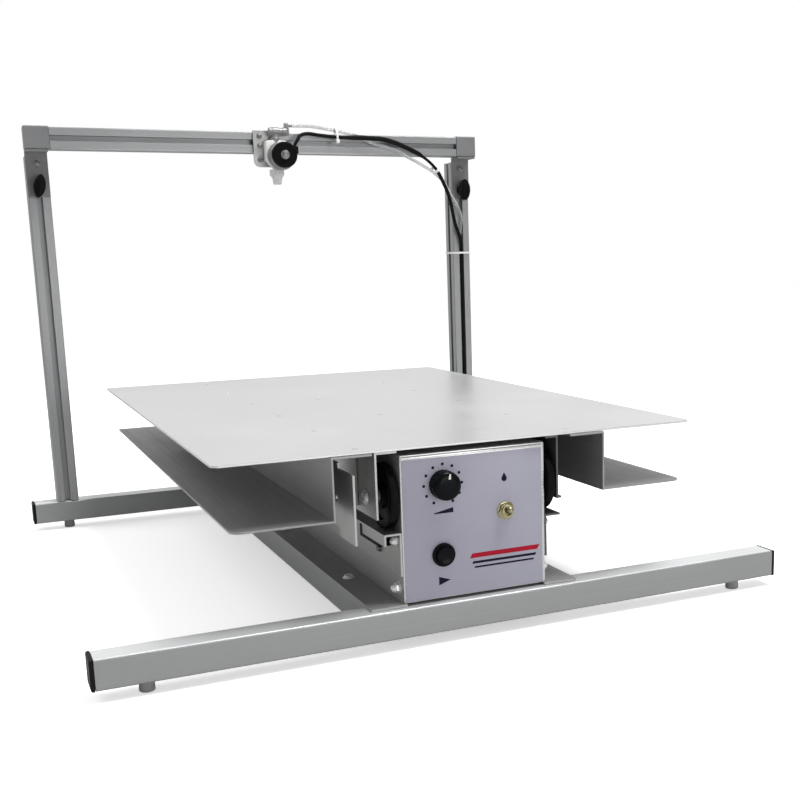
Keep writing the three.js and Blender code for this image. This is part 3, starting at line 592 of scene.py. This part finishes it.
def speed_knob():
    low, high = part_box("speed_knob")
    at = Vector(((low.x + high.x) / 2, high.y, (low.z + high.z) / 2))
    tall = (high.y - low.y) * 1000
    r = (high.x - low.x) * 500
    skirt = [(0, 0), (r, 0), (r, 1.0), (r - 0.4, 1.6), (r - 2.4, 2.3), (r - 2.7, 2.6)]
    dome = [(r - 2.9, tall - 4.2), (r - 3.3, tall - 2.4), (r - 4.3, tall - 1.1), (r - 6, tall - 0.4),
            (r - 9, tall), (0, tall)]

    def ribs(a, h):
        return 1.0 + (0.012 * math.cos(24 * a) if 2.5 < h < tall - 3 else 0.0)

    knob = lathe("speed_knob_cap", skirt + dome, "-y", at, "gloss", "speed_knob", 96, 40, ribs)
    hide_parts("speed_knob")
    bm = slab_bm([(-1.0, 6.4), (1.0, 6.4), (0.7, r - 4.6), (-0.7, r - 4.6)], INK)
    bm.transform(UPRIGHT @ Matrix.Rotation(math.radians(-8), 4, "Z"))
    pointer = finish_mesh("speed_knob_pointer", bm, "tie", "speed_knob", Vector((at.x, low.y + 0.00004, at.z)))


def start_control():
    low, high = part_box("start_switch_body")
    at = Vector(((low.x + high.x) / 2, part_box("front_panel")[0].y, (low.z + high.z) / 2))
    r = (high.x - low.x) * 500
    bezel = lathe("start_bezel", [(9.2, -1), (r, 0), (r, 1.0), (r - 0.5, 1.9), (r - 1.6, 2.2), (r - 2.2, 1.9),
                                  (r - 2.3, -2)], "-y", at, "black", "frame", 64)
    b_low, b_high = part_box("start_button")
    b_r = (b_high.x - b_low.x) * 500
    base = Vector((at.x, b_high.y, at.z))
    tall = (b_high.y - b_low.y) * 1000
    cap = lathe("start_button_cap", [(0, 0), (b_r, 0), (b_r, tall - 1.4), (b_r - 0.3, tall - 0.6),
                                     (b_r - 1.1, tall - 0.1), (b_r - 2.5, tall - 0.5), (0, tall - 0.9)],
                "-y", base, "gloss", "start_button", 64)
    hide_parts("start_button")


def prime_control():
    low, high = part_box("prime_nut")
    at = Vector(((low.x + high.x) / 2, high.y, (low.z + high.z) / 2))
    bm = bmesh.new()
    append(bm, lathe_bm([(0, -0.2), (8.1, -0.2), (8.1, 0.5), (7.6, 0.7), (5, 0.7)], 40))
    add_prism(bm, 6, 7.6, 0.6, (high.y - low.y) * 1000, 0.7, math.radians(12))
    bm.transform(TO_AXIS["-y"])
    nut = finish_mesh("prime_hex_nut", bm, "brass", "frame", at)
    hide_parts("prime_nut")
    thread = []
    for i in range(7):
        thread += [(5.35, 2.6 + i * 0.45), (5.6, 2.8 + i * 0.45)]
    mouth = [(5.1, 5.6), (4.0, 5.6), (3.7, 5.0), (3.6, 2.4), (0, 2.4)]
    bushing = lathe("prime_bushing", [(0, 1.0), (5.3, 1.0)] + thread + mouth, "-y", at, "brass", "frame", 32)
    pivot = mm(middle_mm("prime_lever", "x"), LEVER_PIVOT_Y, middle_mm("prime_nut", "z"))
    profile = [(0, -2.8), (2, -2.2), (3.1, -0.4), (3.0, 1.4), (1.9, 3.0), (2.0, 5.0), (2.5, 7.2), (2.85, 8.4),
               (2.8, 9.6), (2.2, 10.6), (1.2, 11.1), (0, 11.2)]
    bm = lathe_bm(profile, 32)
    bm.transform(Matrix.Rotation(LEVER_TILT, 4, "X") @ TO_AXIS["-y"])
    lever = finish_mesh("prime_bat_lever", bm, "brass", "prime_lever", pivot)
    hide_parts("prime_lever")


control_panel()
panel_marks()
speed_knob()
start_control()
prime_control()


# ---- spray head -------------------------------------------------------------------------------------
def spray_head():
    c_low, c_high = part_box("solenoid_coil")
    at = Vector(((c_low.x + c_high.x) / 2, c_high.y, (c_low.z + c_high.z) / 2))
    r = (c_high.x - c_low.x) * 500
    tall = (c_high.y - c_low.y) * 1000
    profile = [(4.4, 0), (r - 0.8, 0), (r - 0.8, tall - 7.6), (r, tall - 7.0), (r, tall - 1.6),
               (r - 0.5, tall - 0.5), (r - 1.6, tall), (r - 3.0, tall), (r - 3.4, tall - 0.4), (7.2, tall - 0.5),
               (6.8, tall - 0.1), (4.4, tall - 0.1)]
    coil = lathe("coil_moulding", profile, "-y", at, "black", "gantry_beam", 64)
    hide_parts("solenoid_coil")
    yoke = lathe("coil_yoke", [(r - 1, -0.6), (17.3, -0.6), (17.6, 0), (17.6, 2.2), (17.1, 2.8), (r + 0.3, 3.1),
                               (r + 0.1, 4.0), (r - 0.1, tall - 7.8), (r - 0.9, tall - 7.8)], "-y", at, "fitting",
                 "gantry_beam", 64)
    bm = bmesh.new()
    append(bm, lathe_bm([(0, tall - 0.6), (5.4, tall - 0.6), (5.6, tall), (5.2, tall + 0.5), (3, tall + 0.5)], 40))
    add_prism(bm, 6, 4.7, tall + 0.4, tall + 2.6, 0.5, 0.3)
    append(bm, lathe_bm([(2.2, tall + 2.5), (2.1, tall + 2.95), (1.7, tall + 3.0), (0, tall + 3.0)], 24))
    bm.transform(TO_AXIS["-y"])
    nut = finish_mesh("coil_nut", bm, "bolt", "gantry_beam", at)

    v_low, v_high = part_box("valve_body")
    x0, x1 = (at.x - 0.0179) * 1000, (at.x + 0.0101) * 1000
    back = (v_high.y - FRONT) * 1000
    outline = [(x0 + 10, 444), (x1 - 10, 444), (x1, 454), (x1, 475.5), (x1 - 2.5, 478), (x0 + 2.5, 478),
               (x0, 475.5), (x0, 454)]
    body = front_slab("valve_block", outline, back - 588.7, back, "white", "gantry_beam", 1.0)
    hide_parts("valve_body")
    axis = mm(HEAD, SPRAY_Y, 0)
    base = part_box("spray_nozzle")[0].z * 1000
    neck = lathe("valve_ports", [(0, 434), (5, 434), (5, 444.5)], "z", axis, "white", "gantry_beam", 32)

    def grips(a, h):
        return 1.0 + (0.03 * math.cos(18 * a) if base + 11 < h < base + 17.5 else 0.0)

    tip = lathe("nozzle_cap", [(1.1, base), (4.7, base), (5.2, base + 0.6), (5.9, base + 6.6), (6.6, base + 8.4),
                               (8.6, base + 11.2), (9.0, base + 12), (9.0, base + 17.6), (8.6, base + 18.4),
                               (5.4, base + 18.4), (5.4, base + 10), (1.3, base + 8), (1.1, base)],
                "z", axis, "nozzle", "gantry_beam", 72, 40, grips)
    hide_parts("spray_nozzle")

    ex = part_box("hose_elbow")[0].x * 1000
    level = lathe("inlet_fitting", [(0, 0), (4.2, 0), (5.0, 0.7), (5.0, 4.0), (5.4, 4.4), (5.4, 12.5), (4.6, 13.2),
                                    (4.6, 17.0), (5.2, 17.6), (5.2, 22.4), (4.6, 23), (0, 23)], "x",
                  mm(ex, SPRAY_Y, 489), "fitting", "gantry_beam", 40)
    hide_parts("hose_elbow")
    stub_x = ex + 23
    profile = [(0, 484.5), (3.4, 484.8), (3.6, 486), (3.6, 493), (3.1, 494), (3.1, 498.6), (2.4, 499.6),
               (0, 499.9)]
    stub = lathe("inlet_riser", profile, "z", mm(stub_x, SPRAY_Y, 0), "fitting", "gantry_beam", 32)
    barb = lathe("hose_barb", [(0, 0), (1.7, 0), (1.7, 2), (1.95, 3), (1.6, 4), (1.95, 5), (1.5, 7), (0, 7)], "x",
                 mm(stub_x, SPRAY_Y, 496.5), "fitting", "gantry_beam", 24)
    profile = [(0, 476.5), (5.8, 476.5), (5.8, 481), (5.0, 482), (5.0, 485.5), (0, 485.5)]
    collar = lathe("inlet_collar", profile, "z", axis, "fitting", "gantry_beam", 32)
    outline = rounded(at.x * 1000 + 13.4, at.x * 1000 + 20.8, 461, 470.5, 1.2, 3)
    plug = front_slab("coil_connector", outline, 12, 589.5, "black", "gantry_beam", 0.6)


spray_head()


# ---- hose, cable and ties ----------------------------------------------------------------------------
def hose_radius(run):
    """The hose is 4 mm thick all along."""
    return 2.0


def cable_radius(run):
    """Radius in mm along the cable: jacket, a braided sleeve over the beam, a bare stretch, jacket again."""
    stops = ((0.0, 2.0), (0.02, 2.3), (0.085, 2.3), (0.095, 3.1), (0.19, 3.1), (0.196, 1.9), (0.222, 1.9),
             (0.23, 2.4))
    for (a, ra), (b, rb) in zip(stops, stops[1:]):
        if run < b:
            return ra + (rb - ra) * (run - a) / (b - a)
    return 2.4


def lines():
    """Hose and cable: fixed at both ends and tied on the way."""
    slot_y, mouth_y = REAR + 4.9, REAR - 0.3
    hose_run = [
        (HEAD + 22.4, 594, 496.5), (48, 597, 497), (68, 600, 495), (88, 600, 492), (113, 600, 487),
        (136, 600, 477.5), (159, 600, 472), (182, 602, 462.5), (206, 606, 452), (226, 611, 442), (242, 616, 430),
        (254, 620, 413), (265, 622, 397), (POST - 0.5, 627.5, 382), (POST, 633, 368), (POST, slot_y, 352),
        (POST, slot_y, 330), (POST, slot_y, 200), (POST, slot_y, 130), (POST, slot_y, 104), (POST, slot_y, 92),
        (POST, slot_y - 3, 74), (POST - 2, 622, 60), (POST - 22, 615, 53), (POST - 60, 614, 52), (180, 615, 52),
        (110, 615, 52), (60, 615, 52), (48, 600, 52), (30, 560, 56), (10, 480, 62), (-20, 380, 62),
        (PUMP, 290, 60), (PUMP, 225, 56), (PUMP, 203, 62), (PUMP, 197, 72), (PUMP, 197, 83.7),
    ]
    cable_run = [
        (23, 588, 468), (29, 589, 478), (35, 592, 485), (45, 594, 487.5), (60, 594, 486), (86, 594, 484),
        (121, 594, 484), (152, 594, 482), (180, 595, 473), (206, 598, 461), (225, 603, 447), (238, 609, 430),
        (250, 616, 409), (260, 622, 375), (POST - 3, 627, 352), (POST, mouth_y, 332), (POST, mouth_y, 300),
        (POST, mouth_y, 200), (POST, mouth_y, 100), (POST, mouth_y - 1, 82), (POST - 2, 620, 64),
        (POST - 20, 604, 54), (POST - 60, 600, 52), (180, 600, 52), (110, 600, 52), (62, 600, 52), (48, 580, 54),
        (38, 520, 60), (0, 410, 84), (PUMP + 10, 335, 104), (PUMP, 300, 108), (PUMP, 270.4, 108),
    ]
    hose = swept("hose_tube", smooth_path([mm(*p) for p in hose_run]), hose_radius, "hose")
    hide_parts("spray_hose")
    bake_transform(hose)
    cable = swept("cable_jacket", smooth_path([mm(*p) for p in cable_run]), cable_radius, "cable")
    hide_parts("valve_cable")
    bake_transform(cable)


def strap(name, points, across, body, thick=1.0, width=2.6):
    """Flat nylon strap: a closed loop of points in mm, its width along the unit direction across."""
    bm = bmesh.new()
    across = Vector(across).normalized()
    centre = sum((Vector(p) for p in points), Vector()) / len(points)
    rings = []
    for p in points:
        p = Vector(p)
        out = p - centre
        out = (out - across * out.dot(across)).normalized() * thick
        corners = (p - across * width / 2, p + across * width / 2, p + across * width / 2 + out,
                   p - across * width / 2 + out)
        rings.append([bm.verts.new(mm(*c)) for c in corners])
    for a, b in zip(rings, rings[1:] + rings[:1]):
        for k in range(4):
            j = (k + 1) % 4
            bm.faces.new((a[k], a[j], b[j], b[k]))
    finish_mesh(name, bm, "tie", body)


def loop_round(centre, along, first, a, b, steps=28):
    """Oval loop in mm round centre, square to along, with half-axes a (towards first) and b."""
    along = Vector(along).normalized()
    u = Vector(first)
    u = (u - along * u.dot(along)).normalized()
    v = along.cross(u)
    turns = (2 * math.pi * i / steps for i in range(steps))
    return [Vector(centre) + u * (a * math.cos(t)) + v * (b * math.sin(t)) for t in turns]


def ties():
    """Cable ties: over the beam, halfway down the bend and round the right post."""
    first = (0, 5.2, 8.3)
    strap("beam_tie", loop_round((84, 596.8, 488.6), (1, 0, 0), first, 8.0, 3.8), (1, 0, 0), "gantry_beam")
    lock = rounded(82, 86.4, 476.4, 481.6, 0.8, 3)
    front_slab("beam_tie_lock", lock, 3.6, 593.8, "tie", "gantry_beam", 0.4)
    along = (17, 8, -20)
    strap("bend_tie", loop_round((225, 606.6, 445.5), along, (0, 1, 0), 7.2, 3.6), along, "gantry_beam", 1.0, 3.4)
    x0, x1, front, back = POST - 13.1, POST + 13.1, REAR - 0.5, REAR + 24.3
    outline = [(x0, front), (x0 + 3, front - 0.6), (POST - 4, REAR - 2.9), (POST, REAR - 3.2),
               (POST + 4, REAR - 2.9), (x1 - 3, front - 0.6), (x1, front), (x1, back), (x0, back)]
    strap("post_tie", [(x, y, TIE_Z) for x, y in outline], (0, 0, 1), "frame", 0.9)


lines()
ties()


# ---- clamp knobs -------------------------------------------------------------------------------------
def clamp_knob(side, tilt):
    """Bar-shaped moulded wing with a round hub; tilt in degrees leans its top to the right."""
    node = f"{side}_clamp_knob"
    x, z = middle_mm(node, "x"), middle_mm(node, "z")
    lean = math.radians(tilt)
    outline = []
    for i in range(64):
        a = 2 * math.pi * i / 64
        u, v = 6.7 * math.cos(a) * (1 - 0.3 * abs(math.sin(a)) ** 3), 14.0 * math.sin(a)
        outline.append((x + u * math.cos(lean) + v * math.sin(lean), z - u * math.sin(lean) + v * math.cos(lean)))
    wing = front_slab(f"{side}_knob_wing", outline, 13.6, KNOB_BACK - 6.2, "black", node, 2.2, 50)
    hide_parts(node)
    profile = [(0, 0), (6.5, 0), (6.5, 3.5), (6.3, 7), (6.1, 15.0), (5.4, 16.0), (0, 16.1)]
    hub = lathe(f"{side}_knob_hub", profile, "-y", mm(x, KNOB_BACK, z), "black", node, 40)


clamp_knob("left", KNOB_TILT)
clamp_knob("right", 0)


# ---- wheels ------------------------------------------------------------------------------------------
def wheels():
    for side in ("left", "right"):
        for i in (1, 2):
            node = f"{side}_wheel_{i}"
            low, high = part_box(node)
            at = (low + high) / 2
            half = (high.x - low.x) * 500
            r = (high.z - low.z) * 500
            tread = [(21, -half + 0.3), (r - 2.0, -half), (r - 0.5, -half + 0.7), (r, -half + 1.8),
                     (r, half - 1.8), (r - 0.5, half - 0.7), (r - 2.0, half), (21, half - 0.3)]
            web = [(20, half - 2.2), (11.5, half - 2.4), (10.5, half - 0.2), (4.2, half), (4.2, -half),
                   (10.5, -half + 0.2), (11.5, -half + 2.4), (20, -half + 2.2), (21, -half + 0.3)]
            wheel = lathe(f"{side}_rolling_wheel_{i}", tread + web, "x", at, "black", node, 72)
            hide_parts(node)


wheels()


# ---- small fasteners ---------------------------------------------------------------------------------
def fasteners():
    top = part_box("platen")[1].z * 1000
    plan = [(-99, y) for y in (23, 141, 260, 376, 497, 617)] + [(100, y) for y in (23, 141, 268, 390, 497, 617)]
    plan += [(-26.5, 369), (-9, 212)]
    for i, (x, y) in enumerate(plan):
        fasten(f"platen_screw_{i + 1}", COUNTERSUNK, "z", mm(x, y, top), "carriage", random.random())
    for side, s in (("left", -1), ("right", 1)):
        axis = "-x" if s < 0 else "x"
        wall = CHASSIS + s * 68
        for i, (y, z) in enumerate(((18, 92), (20.5, 49.5), (330, 49.5), (625, 92), (625, 49.5))):
            fasten(f"{side}_dome_nut_{i + 1}", DOME, axis, mm(wall, y, z), "frame", random.random())
        flange = CHASSIS + s * 84
        for i, y in enumerate((111.5, 330, 560)):
            fasten(f"{side}_flange_bolt_{i + 1}", FLANGE_BOLT, "z", mm(flange, y, 37.7), "frame", random.random())
        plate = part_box(f"{side}_slide_plate")
        outer = (plate[0].x if s < 0 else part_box("right_wheel_1")[1].x + 0.0042) * 1000
        for i, y in enumerate((34, 244)):
            at = mm(outer, y, middle_mm(f"{side}_wheel_1", "z"))
            fasten(f"{side}_axle_nut_{i + 1}", AXLE_NUT, axis, at, "carriage", 0.3)
        for i, y in enumerate((60, 320, 600)):
            at = mm(CHASSIS + s * 70.1, y, 76)
            fasten(f"{side}_rail_screw_{i + 1}", SMALL_BOLT, axis, at, "frame", random.random())
        bracket = f"{side}_clamp_bracket"
        by = (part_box(bracket)[1].y - FRONT) * 1000 - 2.5
        fasten(f"{side}_bracket_bolt", BOLT, "-y", mm(middle_mm(bracket, "x"), by, 449), "gantry_beam", 0.4)
    face = (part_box("head_bracket")[0].y - FRONT) * 1000
    for i, z in enumerate((472, 484, 455)):
        fasten(f"head_bolt_{i + 1}", SMALL_BOLT, "-y", mm(-16, face, z), "gantry_beam", random.random())


fasteners()


# ---- stage -------------------------------------------------------------------------------------------
def stage():
    g = Graph("floor_paper")
    fine = g.noise(30.0, (1, 1, 1), 3.0, 0.5)
    seen = g.nodes.new("ShaderNodeLightPath").outputs["Is Camera Ray"]
    paper = g.mix(g.span(fine, 0, 1), (0.90, 0.90, 0.90), (0.93, 0.93, 0.93))
    g.link(g.mix(seen, (0.55, 0.55, 0.55), paper), g.shader.inputs["Base Color"])
    g.shader.inputs["Roughness"].default_value = 0.85
    g.shader.inputs["Specular IOR Level"].default_value = 0.1
    g.shader.inputs["Emission Color"].default_value = (1, 1, 1, 1)
    g.link(g.span(seen, 0.10, 0.52, 0.0, 1.0), g.shader.inputs["Emission Strength"])
    mesh = bpy.data.meshes.new("floor")
    bm = bmesh.new()
    bm.faces.new([bm.verts.new(p) for p in ((-9, -9, 0), (9, -9, 0), (9, 9, 0), (-9, 9, 0))])
    bm.to_mesh(mesh)
    bm.free()
    mesh.materials.append(g.material)
    floor = place("floor", mesh, None)


def area(name, at, target, size, power, colour=(1, 1, 1)):
    light = bpy.data.lights.new(name, "AREA")
    light.shape = "DISK"
    light.size = size
    light.energy = power
    light.color = colour
    o = bpy.data.objects.new(name, light)
    bpy.context.scene.collection.objects.link(o)
    o.location = at
    o.rotation_euler = (Vector(target) - Vector(at)).to_track_quat("-Z", "Y").to_euler()
    return o


def studio():
    """White backdrop whose soft light is strongest from behind, with three disc lights."""
    world = bpy.data.worlds.new("studio")
    world.use_nodes = True
    bpy.context.scene.world = world
    tree = world.node_tree
    nodes = tree.nodes
    seen = nodes["Background"]
    seen.inputs["Color"].default_value = (1, 1, 1, 1)
    seen.inputs["Strength"].default_value = 1.0
    direction = nodes.new("ShaderNodeTexCoord").outputs["Generated"]
    split = nodes.new("ShaderNodeSeparateXYZ")
    tree.links.new(direction, split.inputs[0])
    depth = nodes.new("ShaderNodeMapRange")
    for key, v in zip(("From Min", "From Max", "To Min", "To Max"), (-1.0, 0.9, 0.24, 0.75)):
        depth.inputs[key].default_value = v
    tree.links.new(split.outputs["Y"], depth.inputs["Value"])
    glow = nodes.new("ShaderNodeBackground")
    glow.inputs["Color"].default_value = (1, 1, 1, 1)
    tree.links.new(depth.outputs["Result"], glow.inputs["Strength"])
    choose = nodes.new("ShaderNodeMixShader")
    path = nodes.new("ShaderNodeLightPath")
    tree.links.new(path.outputs["Is Camera Ray"], choose.inputs[0])
    tree.links.new(glow.outputs[0], choose.inputs[1])
    tree.links.new(seen.outputs[0], choose.inputs[2])
    tree.links.new(choose.outputs[0], nodes["World Output"].inputs["Surface"])
    area("key", (0.7, -0.5, 2.5), (0, 0, 0.15), 1.1, 62)
    area("fill", (-1.6, 0.6, 2.0), (0, 0, 0.2), 1.2, 12)
    area("front", (0.5, -2.0, 0.25), (0.1, -0.3, 0.05), 0.9, 7)
    scene = bpy.context.scene
    scene.view_settings.view_transform = "Standard"
    scene.view_settings.look = "None"


def camera():
    data = bpy.data.cameras.new("camera")
    data.lens = 50.58
    data.sensor_width = 36
    data.shift_x = -0.1087
    data.shift_y = 0.0909
    data.clip_start, data.clip_end = 0.05, 50
    cam = bpy.data.objects.new("camera", data)
    bpy.context.scene.collection.objects.link(cam)
    right = Vector((0.90428, -0.42634, -0.02255))
    up = Vector((0.10034, 0.16089, 0.98186))
    ahead = Vector((0.41498, 0.89014, -0.18827))
    turn = Matrix((right, up, -ahead)).transposed().to_4x4()
    cam.matrix_world = Matrix.Translation((-0.38878, FRONT - 0.85679, 0.32686)) @ turn
    bpy.context.scene.camera = cam


stage()
studio()
camera()

bpy.context.view_layer.update()
